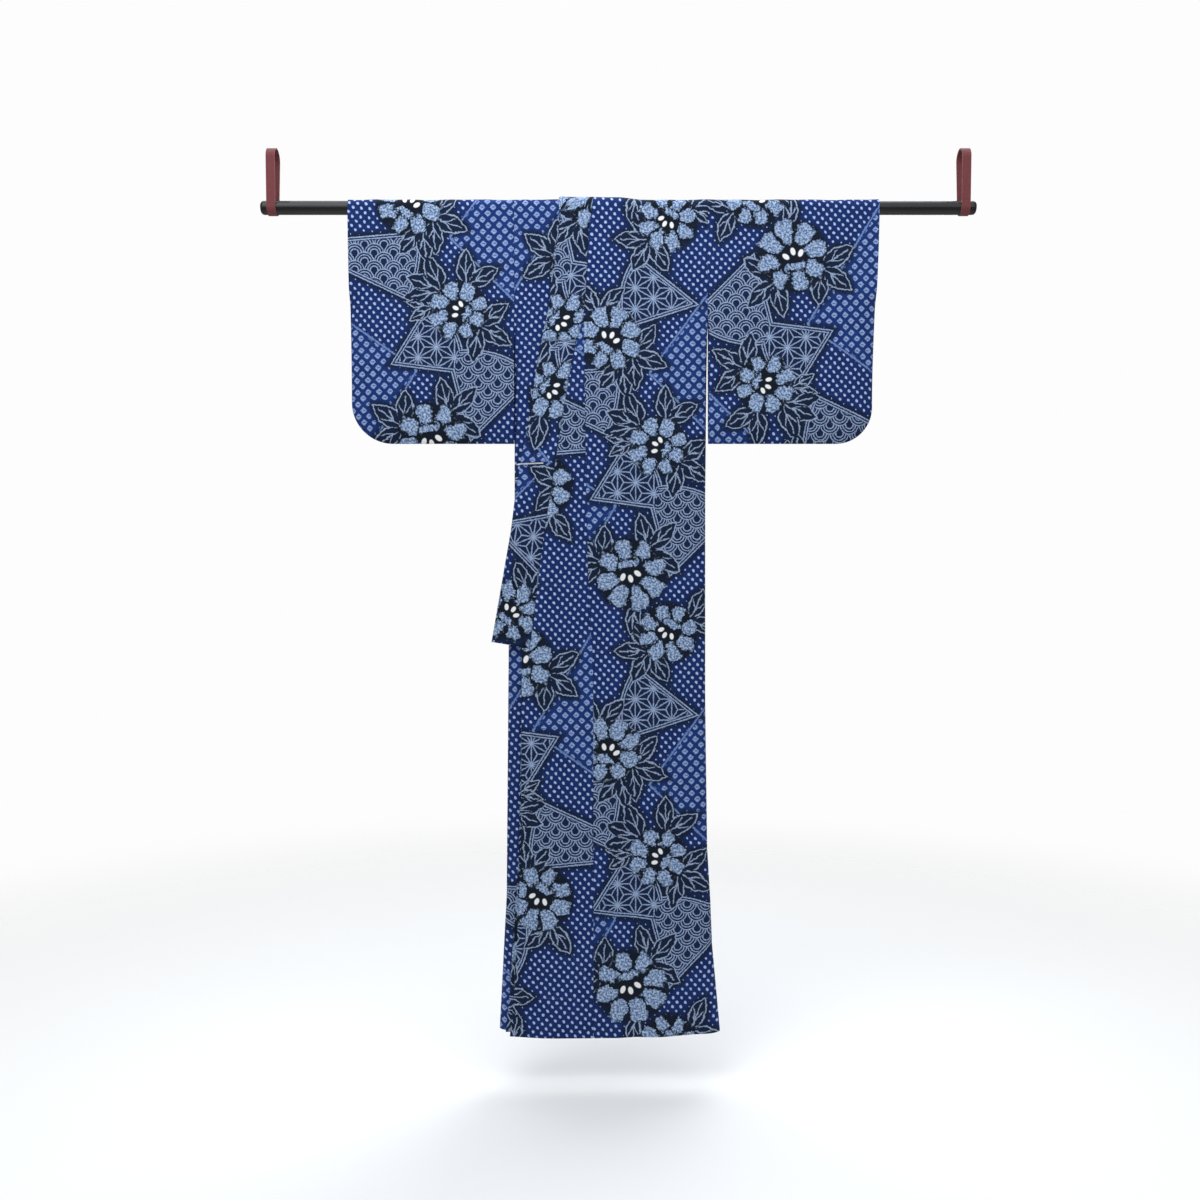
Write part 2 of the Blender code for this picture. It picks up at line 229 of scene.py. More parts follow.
def noise(tree, vector, scale, detail=1.0, dimensions="3D"):
    node = tree.nodes.new("ShaderNodeTexNoise")
    node.noise_dimensions = dimensions
    node.inputs["Scale"].default_value = scale
    node.inputs["Detail"].default_value = detail
    tree.links.new(vector, node.inputs["Vector"])
    return node


def over(tree, below, above, share):
    """The colour above laid over the colour below, by its share."""
    node = tree.nodes.new("ShaderNodeMix")
    node.data_type = "RGBA"
    tree.links.new(share.socket, node.inputs["Factor"])
    for entry, value in ((node.inputs[6], below), (node.inputs[7], above)):
        if isinstance(value, tuple):
            entry.default_value = value
        else:
            tree.links.new(value, entry)
    return node.outputs[2]


def bumped(tree, shader, height, distance):
    """Relief in the surface, its height a share of the distance in metres."""
    node = tree.nodes.new("ShaderNodeBump")
    node.inputs["Strength"].default_value = 1.0
    node.inputs["Distance"].default_value = distance
    tree.links.new(height.socket, node.inputs["Height"])
    tree.links.new(node.outputs[0], shader.inputs["Normal"])


def finish_of(name, roughness):
    made = bpy.data.materials.new(name)
    made.use_nodes = True
    shader = made.node_tree.nodes["Principled BSDF"]
    shader.inputs["Roughness"].default_value = roughness
    coordinates = made.node_tree.nodes.new("ShaderNodeTexCoord")
    return made, made.node_tree, shader, coordinates


lacquer, tree, shader, coordinates = finish_of("black lacquer", 0.30)
x, y, z = parts_of(tree, coordinates.outputs["Object"])
strokes = noise(tree, joined(tree, x * BRUSH_STRETCH, y, z), BRUSH_SCALE, 2.0)
coats = Measure(tree, strokes.outputs["Fac"])
tree.links.new(over(tree, (0.0045, 0.0045, 0.0052, 1), (0.0110, 0.0105, 0.0105, 1), coats),
               shader.inputs["Base Color"])
tree.links.new(coats.times_plus(0.20, 0.20).socket, shader.inputs["Roughness"])
shader.inputs["Specular IOR Level"].default_value = 0.30
shader.inputs["Coat Weight"].default_value = 0.12
shader.inputs["Coat Roughness"].default_value = 0.12
bumped(tree, shader, coats, 0.0002)
cad["rod"].material_slots[0].material = lacquer


# The strap loops

# Two loops of dark red twill tape that carry the rod on the bar above. Each
# is cut from flat tape two millimetres thick, with a firm woven edge.

TWILL_WAVES = 2400

tape, tree, shader, coordinates = finish_of("red strap", 0.78)
x, y, z = parts_of(tree, coordinates.outputs["Object"])
twill = (z * TWILL_WAVES + x * TWILL_WAVES).made("SINE").times_plus(0.5, 0.5)
rib = (y * TWILL_WAVES - x * TWILL_WAVES).made("SINE").times_plus(0.5, 0.5)
weave = twill.most(rib)
fuzz = Measure(tree, noise(tree, coordinates.outputs["Object"], 380, 2.0).outputs["Fac"])
# Painted shade: the red is darker in the hollows of the twill, and also varies at random with the fuzz
twill_painted_shade_and_fuzz = weave * 0.55 + fuzz * 0.45
tree.links.new(over(tree, ink(60, 18, 24), ink(128, 50, 54), twill_painted_shade_and_fuzz), shader.inputs["Base Color"])
shader.inputs["Sheen Weight"].default_value = 0.25
bumped(tree, shader, twill_painted_shade_and_fuzz, 0.0006)
for name in ("strap_left", "strap_right"):
    cad[name].material_slots[0].material = tape


# The printed cotton

# Plain-weave cotton, resist-dyed in two blues through to its inner face. One
# repeat of the bolt has four peonies with leaves, two fans of hemp-leaf stars,
# two of waves, and dotted and checked ground.

# A place on the bolt is (s, t): metres across it and along it
REPEAT = 0.840

# Peonies: s, t, radius of the ring of petals, direction of the inner petal
PEONIES = ((0.020, -0.460, 0.042, -60), (-0.100, -0.220, 0.046, 113),
           (0.000, 0.000, 0.042, 25), (-0.055, 0.260, 0.051, -107))

# Sprays: peony, direction of the base, then leaf directions and their length
SPRAYS = ((0, 134, (-120, 180, 120, 60), 0.068), (0, -29, (-65, 20), 0.065),
          (1, 32, (-50, 20, 85), 0.070), (1, 64, (130, 80), 0.066),
          (1, -111, (-125, -45, 10), 0.067), (2, -129, (-115, -158, 170), 0.074),
          (2, -73, (-90, -30), 0.071), (2, 36, (-38, 30, 100), 0.070),
          (2, -170, (-170, 150), 0.050), (3, -53, (-105, -45, 35), 0.072),
          (3, -160, (-143, -87, 149), 0.073), (3, 80, (100,), 0.060))
SPRAY_BASE = 0.010
STALK = 0.007
LEAF_WIDTH = 0.74
LEAF_POWERS = (0.6, 0.9)
FLOWER_REACH = 1.36

# Fans: s and t of the tip, direction, half angle, depth, what fills it (0 for
# stars, 1 for waves that rise towards the bolt's start and -1 towards its
# end), and s and t of the middle of one star or wave
FANS = ((0.085, -0.290, 190.3, 28.2, 0.165, 0, -0.0090, -0.3028),
        (-0.140, 0.110, -25.5, 32.7, 0.152, 0, -0.0825, 0.0522),
        (0.023, 0.268, -75.0, 30.0, 0.190, -1, 0.0600, 0.1300),
        (-0.354, -0.139, 10.2, 15.0, 0.278, 1, -0.1720, -0.1180))

# Checked wedges: s and t of the corner, direction, half angle
CHECKS = ((-0.018, -0.150, -4.5, 49.0), (-0.085, 0.120, 168.1, 46.9))


def around(s, t, centre_s, centre_t, direction):
    """Places on the bolt as seen from a motif that points in a direction."""
    angle = math.radians(direction)
    right = s - centre_s
    down = t - centre_t
    return (right * math.cos(angle) + down * math.sin(angle),
            down * math.cos(angle) - right * math.sin(angle))


def leaves():
    """Base, direction and length of every leaf in the repeat."""
    for peony, base, directions, length in SPRAYS:
        s, t, ring, _ = PEONIES[peony]
        out = ring + SPRAY_BASE
        base_s = s + out * math.cos(math.radians(base))
        base_t = t + out * math.sin(math.radians(base))
        for direction in directions:
            yield (base_s + STALK * math.cos(math.radians(direction)),
                   base_t + STALK * math.sin(math.radians(direction)), direction, length)


def print_on(mesh):
    """Gives each corner of the cloth its place in the motifs nearest to it."""
    uv = np.empty(len(mesh.loops) * 2)
    mesh.uv_layers["cloth"].data.foreach_get("uv", uv)
    s, t = uv.reshape(-1, 2).T
    starts = np.empty(len(mesh.polygons), int)
    totals = np.empty(len(mesh.polygons), int)
    mesh.polygons.foreach_get("loop_start", starts)
    mesh.polygons.foreach_get("loop_total", totals)
    face = np.repeat(np.arange(len(starts)), totals)
    face_s = np.add.reduceat(s, starts) / totals
    face_t = np.add.reduceat(t, starts) / totals
    halo = np.full(len(s), 1.0)

    def motifs(kinds, far, written):
        """Finds each face's nearest motif and writes its corners' places in it."""
        best = np.full(len(face_s), np.inf)
        values = [np.zeros((len(s), 3)) for _ in written]
        for kind in kinds:
            turns = np.round((face_t - kind[1]) / REPEAT) * REPEAT
            distance = far(*around(face_s, face_t - turns, *kind[:3]), kind)
            chosen = distance < best
            best[chosen] = distance[chosen]
            corners = chosen[face]
            x, y = around(s, t - turns[face], *kind[:3])
            np.minimum(halo, far(x, y, kind), out=halo)
            for value, write in zip(values, written):
                value[corners] = np.stack([part + 0 * x for part in write(x, y, kind)], -1)[corners]
        return values

    def from_peony(x, y, kind):
        return np.hypot(x, y) - FLOWER_REACH * kind[3]

    def from_leaf(x, y, kind):
        length = kind[3]
        share = np.clip(x / length, 0, 1)
        width = LEAF_WIDTH * length * share ** LEAF_POWERS[0] * (1 - share) ** LEAF_POWERS[1]
        return np.hypot(x - share * length, y) - width

    def from_fan(x, y, kind):
        half = math.radians(kind[3])
        return np.maximum(np.abs(y) * math.cos(half) - x * math.sin(half), np.hypot(x, y) - kind[4])

    def by_length(x, y, kind):
        return x / kind[3], y / kind[3], kind[3]

    def in_fan(x, y, kind):
        angle = math.radians(kind[2])
        return (kind[0] - kind[6] + x * math.cos(angle) - y * math.sin(angle),
                kind[1] - kind[7] + x * math.sin(angle) + y * math.cos(angle), kind[5])

    def fan_edges(x, y, kind):
        rise = x * math.sin(math.radians(kind[3]))
        spread = y * math.cos(math.radians(kind[3]))
        return rise - spread, rise + spread, kind[4] - np.hypot(x, y)

    peonies = [(a, b, direction, ring) for a, b, ring, direction in PEONIES]
    found = motifs(peonies, from_peony, [by_length])
    found += motifs(list(leaves()), from_leaf, [by_length])
    found += motifs(FANS, from_fan, [in_fan, fan_edges])

    checked = np.full(len(s), -1.0)
    for corner_s, corner_t, direction, half in CHECKS:
        turns = np.round((t - corner_t) / REPEAT) * REPEAT
        x, y = around(s, t - turns, corner_s, corner_t, direction)
        inside = x * math.sin(math.radians(half)) - np.abs(y) * math.cos(math.radians(half))
        checked = np.maximum(checked, inside)
    found.append(np.stack((checked, halo, np.zeros(len(s))), -1))
    for name, value in zip(("peony", "leaf", "fan", "fan_edges", "ground"), found):
        layer = mesh.attributes.new(name, "FLOAT_VECTOR", "CORNER")
        layer.data.foreach_set("vector", value.ravel())


cotton, tree, shader, coordinates = finish_of("printed cotton", 0.86)


def written(name):
    node = tree.nodes.new("ShaderNodeAttribute")
    node.attribute_name = name
    return parts_of(tree, node.outputs["Vector"])


bolt = tree.nodes.new("ShaderNodeUVMap")
bolt.uv_map = "cloth"
s, t, _ = parts_of(tree, bolt.outputs[0])

# The dye creeps along the threads, so no edge of the print is quite even
CREEP = 0.0052
WANDER = 0.016
creep = noise(tree, bolt.outputs[0], 230, 1.5, "2D")
creep_s, creep_t, creep_more = parts_of(tree, creep.outputs["Color"])
creep_s = creep_s.times_plus(CREEP, -CREEP / 2)
creep_t = creep_t.times_plus(CREEP, -CREEP / 2)
wander = noise(tree, bolt.outputs[0], 55, 1.0, "2D")
wander_s, wander_t, _ = parts_of(tree, wander.outputs["Color"])
wander_s = wander_s.times_plus(WANDER, -WANDER / 2)
wander_t = wander_t.times_plus(WANDER, -WANDER / 2)
grain = Measure(tree, noise(tree, bolt.outputs[0], 620, 1.0, "2D").outputs["Fac"])
cloud = Measure(tree, noise(tree, bolt.outputs[0], 28, 2.0, "2D").outputs["Fac"])
beads = grain.times_plus(2.4, -0.35, clamp=True)


def lattice(across, along, lean):
    """Offset from the nearest point of a staggered lattice, laid slightly askew."""
    right, down = around(s + creep_s * 0.5, t + creep_t * 0.5, 0, 0, lean)
    first = (right / across + down / along + 500.5).made("FRACT") - 0.5
    second = (right / across - down / along + 500.5).made("FRACT") - 0.5
    return (first + second) * (across / 2), (first - second) * (along / 2)


def ring_round(x, y, half_x, half_y):
    """0 at the middle of an oval and 1 on its outline."""
    return (x * x * (1 / half_x ** 2) + y * y * (1 / half_y ** 2)).made("SQRT")


# The ground: dots and checks stop short of the line between them
PLAIN_EDGE = 0.004
checked, halo, _ = written("ground")
checked = checked + creep_s
room = halo.times_plus(1 / 0.013, -0.10, clamp=True)

# Dots, which lean and shrink towards the motifs: spacing, lean, radii
DOT_SPACING = (0.0172, 0.0182)
DOT_LEAN = 5
DOT_RADII = (0.0028, 0.0037)
right, down = lattice(*DOT_SPACING, DOT_LEAN)
dot = ring_round(right * 0.8 - down * 0.6, right * 0.6 + down * 0.8, *DOT_RADII)
dots = dot.under(room.times_plus(0.84, 0.05), 0.16) * checked.under(-PLAIN_EDGE, 0.0012)

# Checks: small rounded diamonds with a dark nick in each
CHECK_SPACING = (0.0224, 0.0245)
CHECK_LEAN = -2
CHECK_RADIUS = 0.0061
NICK_RADII = (0.0032, 0.0011)
right, down = lattice(*CHECK_SPACING, CHECK_LEAN)
diamond = (right.size() + down.size()) * 0.62 + ring_round(right, down, 1.0, 1.0) * 0.42
nick = ring_round(right - 0.0006, down + 0.0004, *NICK_RADII).under(1.0, 0.45)
checks = diamond.under(room.times_plus(CHECK_RADIUS, 0.0004), 0.0009) * nick.times_plus(-0.85, 1.0)
checks = checks * grain.times_plus(2.6, -0.45, clamp=True)
checks = checks * (checked * -1).under(-PLAIN_EDGE, 0.0012)

# A thin pale line parts the dots from the checks
edge_lines = checked.size().under(0.0019, 0.0006) * halo.under(0.002, 0.001).times_plus(-1, 1)

# The ground in its two blues, nearly black beside the motifs
deep_blue = over(tree, ink(17, 38, 93), ink(27, 52, 115), cloud)
check_blue = over(tree, ink(20, 43, 100), ink(30, 61, 129), cloud)
ground = over(tree, deep_blue, check_blue, (checked * -1).under(0.0, 0.0015))
dark = (halo + creep_s * 2.0).times_plus(-1 / 0.012, 1.15, clamp=True)
ground = over(tree, ground, ink(18, 30, 51), dark * cloud.times_plus(0.5, 0.7, clamp=True))
ground = over(tree, ground, ink(176, 196, 234), dots)
ground = over(tree, ground, ink(160, 184, 232), checks)
ground = over(tree, ground, ink(120, 150, 206), edge_lines * beads)

# Fans: stars or waves on a dark ground, within two pale lines. For each line,
# how far it lies inside the fan's edge, and its half width
FAN_LINES = ((0.0014, 0.0013), (0.0068, 0.0012))
FILLING_LINE = 0.0011
right, down, kind = written("fan")
right = right + creep_s * 0.5
down = down + creep_t * 0.5
first, second, third = written("fan_edges")
inside = first.least(second).least(third) + creep_s * 0.5
outer_line, inner_line = [(inside - depth).size().under(half, 0.0005) for depth, half in FAN_LINES]
border = outer_line.most(inner_line)

# Hemp-leaf stars: a net of triangles, each with three lines to its middle
STAR_EDGE = 0.043
first = ((down - right * (1 / math.sqrt(3))) / STAR_EDGE + 50).made("FRACT")
second = (right * (2 / math.sqrt(3) / STAR_EDGE) + 50).made("FRACT")
flipped = (first + second).made("GREATER_THAN", 1.0)
first = (first - flipped).size()
second = (second - flipped).size()
third = (first + second).times_plus(-1, 1)
smallest = first.least(second).least(third)
largest = first.most(second).most(third)
middle = (smallest + largest).times_plus(-1, 1)
star_lines = (smallest * (STAR_EDGE * 0.866)).least((middle - smallest) * (STAR_EDGE / 2))
stars = star_lines.under(FILLING_LINE, 0.0006)

# Waves: staggered rows of scales, each of three rings, as shares of its radius
SCALE_WIDTH = 0.0398
SCALE_STEP = 0.0173
SCALE_RADIUS = SCALE_WIDTH / 2
WAVE_RINGS = (0.95, 0.68, 0.40)
rise = down * kind * -1


def scale_reach(number):
    """Distance from the middle of the wave scale that a row has there."""
    off = ((right / SCALE_WIDTH + number * 0.5 + 50.5).made("FRACT") - 0.5) * SCALE_WIDTH
    up = (rise - number * SCALE_STEP).most(0.0)
    return (off * off + up * up).made("SQRT")


lower_row = ((rise - (SCALE_RADIUS - SCALE_STEP)) / SCALE_STEP).made("FLOOR")
near = scale_reach(lower_row)
far = scale_reach(lower_row + 1)
wave_reach = far + (near - far) * near.under(SCALE_RADIUS, 0.0004)
rings = (wave_reach - WAVE_RINGS[0] * SCALE_RADIUS).size()
for ring_share in WAVE_RINGS[1:]:
    rings = rings.least((wave_reach - ring_share * SCALE_RADIUS).size())
wave_lines = rings.under(FILLING_LINE, 0.0006)
filling = stars + (wave_lines - stars) * kind.size()
filling = filling * (inside * -1).under(-0.0095, 0.001)
fan_lines = border.most(filling) * beads
fan_ground = over(tree, ink(18, 31, 60), ink(24, 41, 78), cloud)
fan_colour = over(tree, fan_ground, ink(166, 188, 226), fan_lines)
ground = over(tree, ground, fan_colour, (inside * -1).under(0.0, 0.0006))

# Leaves: pale outline, midrib and veins round a dark inside
LEAF_OUTLINE = 0.0015
LEAF_LINE = 0.0012
x, y, length = written("leaf")
x = x + (creep_s * 0.7 + wander_s * 0.5) / length
y = y + (creep_t * 0.7 + wander_t * 0.5) / length
along = x.most(0.0).least(1.0)
width = along.made("POWER", LEAF_POWERS[0]) * along.times_plus(-1, 1).made("POWER", LEAF_POWERS[1])
width = width * LEAF_WIDTH
off = y.size()
in_leaf = (off - width) * length
outline = (in_leaf + LEAF_OUTLINE).size().under(LEAF_OUTLINE, 0.0005)
outline = outline * x.most(0.0).under(0.06, 0.01).times_plus(-1, 1)
midrib = (off * length).under(LEAF_LINE, 0.0005) * x.under(0.80, 0.02)
vein = (x - off * 1.9 - 0.22).size() * (length * 0.47)
veins = vein.under(LEAF_LINE, 0.0005) * (off - width * 0.66).under(0.0, 0.02)
leaf_mask = in_leaf.under(0.0, 0.0006) * x.made("GREATER_THAN", 0.0)
leaf_lines = outline.most(midrib.most(veins)) * beads
leaf_colour = over(tree, ink(19, 33, 59), ink(167, 186, 218), leaf_lines)
ground = over(tree, ground, leaf_colour, leaf_mask)

# Peonies: eight mottled petals round a dark eye, an inner petal and stamens,
# with sizes as shares of the radius of the ring of petals
PETAL_COUNT = 8
PETAL_RADIUS = 0.278
PETAL_STRETCH = 0.78
PETAL_POWER = 3.0
PETAL_GAP = 0.066
INNER_PETAL_X = 0.43
INNER_PETAL_RADII = (0.15, 0.40)
STAMENS = ((-0.03, -0.35, 38), (-0.18, -0.07, 0), (-0.06, 0.26, -37))
STAMEN_RADII = (0.155, 0.098)
half_petal = math.pi / PETAL_COUNT
x, y, ring = written("peony")
rough_x = x + (creep_s * 1.9 + wander_s) / ring
rough_y = y + (creep_t * 1.9 + wander_t) / ring
angle = rough_y.made("ARCTAN2", rough_x)
reach = (rough_x * rough_x + rough_y * rough_y).made("SQRT")
turned = (angle * (0.5 / half_petal) + 8.5).made("FRACT").times_plus(2 * half_petal, -half_petal)
out = ((reach * turned.made("COSINE") - 1.0) * PETAL_STRETCH).size().made("POWER", PETAL_POWER)
aside = (reach * turned.made("SINE")).size().made("POWER", PETAL_POWER)
petal = (out + aside).made("POWER", 1 / PETAL_POWER)
wider = angle.made("COSINE") * -0.030 + cloud * 0.08
gap = reach * turned.size().times_plus(-1, half_petal)
petals = petal.under(wider + PETAL_RADIUS, 0.030) * gap.under(PETAL_GAP, 0.022).times_plus(-1, 1)
inner = ring_round(rough_x - INNER_PETAL_X, rough_y, *INNER_PETAL_RADII)
petals = petals * inner.under(1.34, 0.12).times_plus(-1, 1)
inner = inner.under(1.0, 0.10)
eye = reach.under(1.45, 0.05)
stamens = None
for place_x, place_y, lean in STAMENS:
    oval = ring_round(*around(x, y, place_x, place_y, lean), *STAMEN_RADII).under(1.0, 0.12)
    stamens = oval if stamens is None else stamens.most(oval)
mottle = (creep_more * 0.65 + grain * 0.35).times_plus(6.5, -2.85, clamp=True)
petal_colour = over(tree, ink(85, 113, 156), ink(182, 202, 231), mottle)
rim = petal.under(0.46, 0.06).most(reach.under(0.85, 0.05))
ground = over(tree, ground, ink(16, 25, 38), eye * rim)
ground = over(tree, ground, petal_colour, petals.most(inner))
ground = over(tree, ground, ink(246, 248, 250), stamens)

# Weave: the threads stand a little proud of each other, in a slubby grain. The colour is darkened where
# the threads sink, a painted shade between them
THREAD_PITCH = 0.0009
warp = (s * (math.tau / THREAD_PITCH)).made("SINE")
weft = (t * (math.tau / THREAD_PITCH)).made("SINE")
threads = warp * weft
relief = threads * 0.25 + grain * 0.8 + cloud * 0.4
# Painted shade: the print is mixed towards black in the hollows between the threads
cloth_with_painted_weave_shade = over(tree, ground, (0, 0, 0, 1), threads.times_plus(-0.06, 0.06))
tree.links.new(cloth_with_painted_weave_shade, shader.inputs["Base Color"])
tree.links.new(grain.times_plus(0.16, 0.76).socket, shader.inputs["Roughness"])
shader.inputs["Sheen Weight"].default_value = 0.04
shader.inputs["Sheen Roughness"].default_value = 0.5
shader.inputs["Specular IOR Level"].default_value = 0.10
bumped(tree, shader, relief, 0.00035)


# The right half of the body

# One length of cotton from the back hem over the shoulder to the front hem. It
# hangs next to the rod and is turned back on itself at one pleat, so that its
# inner part lies on it. Runs are distances along the cloth from the rod's top.

ROD_RADIUS = 0.014
ROD_DEPTH = 0.100
BEND_RADIUS = ROD_RADIUS + 0.0003
QUARTER_TURN = BEND_RADIUS * math.pi / 2
HALF_SEAM = 0.0002
CLOTH_WALL = 0.0012
SEEN_WALL = 0.0008
LAYER_LIFTS = (0.0006, 0.0031, 0.0058)
LAYER_SPREAD = 0.0020
SPREAD_DROPS = (0.05, 0.40)
OFF_ROD_DROP = 0.05
SLACK = 0.0008
OKUMI_TIP_DROP = 0.231
NECK_BACK_RUN = -0.020
SIDE_CLOSING = (0.231, 0.350)
SIDE_WIDTH = 0.035
FOLD_X = -0.0153
CENTRE_BACK_X = -0.1192
NECK_POINT_X = -0.0479
HEM_DROP = 1.697
UNDER_HEM_DROP = 1.690
HEM_MIDDLE_X = -0.030
HEM_HALF_WIDTH = 0.230
HEM_BOW = 0.007
BOW_START_DROP = 1.2
BODY_SPACE = ((0.0, 0.0143), (0.21, 0.0115), (0.8, 0.0105), (1.3, 0.0125), (1.70, 0.0170))
NECK_EDGE = ((0.0, -0.0530), (0.05, -0.0610), (0.14, -0.0642), (0.231, -0.0713))
OKUMI_SEAM = ((0.231, -0.0713), (0.40, -0.0683), (0.56, -0.0662), (0.69, -0.0642),
              (0.85, -0.0581), (0.93, -0.0515), (1.70, -0.0510))
RIGHT_SIDE_EDGE = ((0.0, -0.2130), (0.655, -0.2130), (0.80, -0.2205), (0.904, -0.2252),
                   (1.418, -0.2293), (1.70, -0.2436))

# Soft folds that grow to the hem: x, half width, height outwards
FRONT_FOLDS = ((-0.150, 0.045, 0.0040), (-0.020, 0.050, -0.0030),
               (0.080, 0.040, 0.0060), (0.160, 0.030, -0.0020))
BACK_FOLDS = ((-0.160, 0.050, 0.0050), (-0.060, 0.050, -0.0030),
              (0.045, 0.045, 0.0060), (0.135, 0.040, -0.0030))

# Creases: x and run of both ends, half width, height outwards
CREASES = (
    (0.085, 0.14, 0.060, 0.62, 0.007, 0.0011), (0.120, 0.05, 0.150, 0.34, 0.006, -0.0010),
    (0.020, 0.30, 0.035, 0.78, 0.009, 0.0012), (-0.035, 0.36, -0.050, 0.95, 0.006, -0.0009),
    (0.140, 0.52, 0.125, 1.10, 0.010, 0.0013), (0.070, 0.90, 0.095, 1.62, 0.012, 0.0016),
    (-0.015, 1.02, -0.005, 1.70, 0.010, 0.0012), (-0.110, 0.98, -0.125, 1.66, 0.009, 0.0011),
    (-0.180, 1.05, -0.190, 1.70, 0.008, -0.0010), (0.165, 1.18, 0.185, 1.70, 0.008, 0.0012),
    (0.110, 0.30, 0.176, 0.26, 0.008, 0.0010), (0.100, 0.42, 0.172, 0.47, 0.007, -0.0009),
    (-0.045, 1.30, 0.040, 1.36, 0.010, -0.0008), (0.020, 1.53, 0.120, 1.49, 0.011, 0.0009),
    (-0.100, 0.46, -0.080, 0.88, 0.007, 0.0009), (-0.170, 0.16, -0.195, 0.42, 0.007, 0.0010),
    (-0.060, -0.12, -0.075, -0.62, 0.008, 0.0012), (0.050, -0.08, 0.030, -0.55, 0.009, -0.0010),
    (0.130, -0.20, 0.145, -0.80, 0.010, 0.0013), (-0.020, -0.48, 0.000, -1.10, 0.009, 0.0012),
    (-0.160, -0.15, -0.185, -0.50, 0.008, 0.0010), (0.085, -0.72, 0.070, -1.40, 0.012, 0.0015),
    (-0.095, -0.86, -0.120, -1.52, 0.011, 0.0013), (0.020, -1.12, 0.045, -1.70, 0.010, -0.0012),
    (-0.180, -1.10, -0.195, -1.70, 0.008, 0.0011), (0.155, -1.16, 0.180, -1.70, 0.009, 0.0012),
    (0.095, -0.34, 0.172, -0.29, 0.008, 0.0010), (-0.040, -1.34, 0.060, -1.30, 0.011, 0.0008))


def smooth(start, end, value):
    """0 before start, 1 after end, and a soft step between them."""
    share = np.clip((value - start) / (end - start), 0, 1)
    return share * share * (3 - 2 * share)


def mix(a, b, share):
    return a + (b - a) * share


def read(table, drop):
    """The value that a table of drops and values has at a drop."""
    return np.interp(drop, *zip(*table))


def drop_of(run):
    """How far below the bend over the rod a place of the cloth hangs."""
    return np.maximum(np.abs(run) - QUARTER_TURN, 0)


def lift(layer, drop):
    """How far outwards the middle of a layer of the folded robe lies."""
    return LAYER_LIFTS[layer] + layer * LAYER_SPREAD * smooth(*SPREAD_DROPS, drop)


def rounded(distance, width):
    """How far a flat tube is open at a distance from its closed edge."""
    inner = 1 - np.clip(distance / width, 0, 1)
    return np.sqrt(np.maximum(1 - inner * inner, 0))


def creased(x, run, creases):
    """Soft ridges and troughs along short lines that fade out at both ends."""
    total = np.zeros(np.broadcast(x, run).shape)
    for x0, run0, x1, run1, width, height in creases:
        length = math.hypot(x1 - x0, run1 - run0)
        along = ((x - x0) * (x1 - x0) + (run - run0) * (run1 - run0)) / length
        away = ((x - x0) * (run1 - run0) - (run - run0) * (x1 - x0)) / length
        fade = 0.35 * length
        faded = smooth(0, fade, along) * (1 - smooth(length - fade, length, along))
        total += height * faded * np.exp(-(away / width) ** 2)
    return total


def folded(x, run):
    """The soft folds' push outwards, which grows towards the hem."""
    growth = (drop_of(run) / HEM_DROP) ** 1.5
    front, back = [sum(height * np.exp(-((x - centre) / width) ** 2) for centre, width, height in folds)
                   for folds in (FRONT_FOLDS, BACK_FOLDS)]
    return growth * np.where(run > 0, front, back)


def hang(x, run, height, space, push=0.0, opened=1.0):
    """Points of the cloth in space, over the rod or hanging from it."""
    outward = np.where(run >= 0, -1.0, 1.0)
    drop = drop_of(run)
    angle = np.minimum(np.abs(run), QUARTER_TURN) / BEND_RADIUS
    ease = SLACK * (1 + np.sin(x * 61) * np.sin(x * 23 + 1)) * (1 - smooth(0.0, OFF_ROD_DROP, drop))
    radius = BEND_RADIUS + height + ease
    below = (read(space, drop) + height + ease + push * smooth(0, OFF_ROD_DROP, drop)) * opened
    y = np.where(drop > 0, below, radius * np.sin(angle))
    z = np.where(drop > 0, -drop, radius * np.cos(angle))
    return np.stack(np.broadcast_arrays(x, outward * y, z - ROD_DEPTH), -1)


def body_point(x, run, height, opened=1.0, hem=HEM_DROP):
    """Points of the body, with its folds, creases and slightly bowed hem."""
    drop = drop_of(run)
    bow = HEM_BOW * ((x - HEM_MIDDLE_X) / HEM_HALF_WIDTH) ** 2
    rise = (HEM_DROP - hem + bow) * smooth(BOW_START_DROP, HEM_DROP, drop)
    lifted = np.where(drop > 0, run - np.sign(run) * rise, run)
    return hang(x, lifted, height, BODY_SPACE, folded(x, run) + creased(x, run, CREASES), opened)


def inner_edge(run):
    """x of the edge that meets the collar, the okumi or the other back."""
    drop = drop_of(run)
    back = mix(NECK_POINT_X, CENTRE_BACK_X, np.clip(run / NECK_BACK_RUN, 0, 1))
    turn = mix(NECK_POINT_X, NECK_EDGE[0][1], np.clip(run / QUARTER_TURN, 0, 1))
    front = np.where(drop <= OKUMI_TIP_DROP, read(NECK_EDGE, drop), read(OKUMI_SEAM, drop))
    return np.where(run < 0, back, np.where(drop == 0, turn, front) + HALF_SEAM)


def side_opened(distance, drop):
    """Front and back lie apart down to the armhole and meet below it."""
    return mix(1.0, rounded(distance, SIDE_WIDTH), smooth(*SIDE_CLOSING, drop))


def over_rod(down):
    """Rows along the cloth, from the back over the rod to the front."""
    front = np.concatenate((np.linspace(0, QUARTER_TURN, 8), down + QUARTER_TURN))
    return np.concatenate((-front[:0:-1], front))


NEAR_EDGE = np.array((0.0, 0.0012, 0.0030, 0.0060))
EDGE_COLUMNS = len(NEAR_EDGE)


def columns(start, end, count):
    """x of the columns in each row, closer together along both edges."""
    width = np.abs(end - start)[:, None]
    fine = NEAR_EDGE * np.minimum(width / 0.05, 1)
    last = 2 * fine[:, -1:]
    middle = last + (width - 2 * last) * np.linspace(0, 1, count)
    away = np.concatenate((fine, middle, width - fine[:, ::-1]), axis=1)
    return start[:, None] + np.sign(end - start)[:, None] * away


SEAM_DEPTH = 0.0006
TURNING = 0.0004


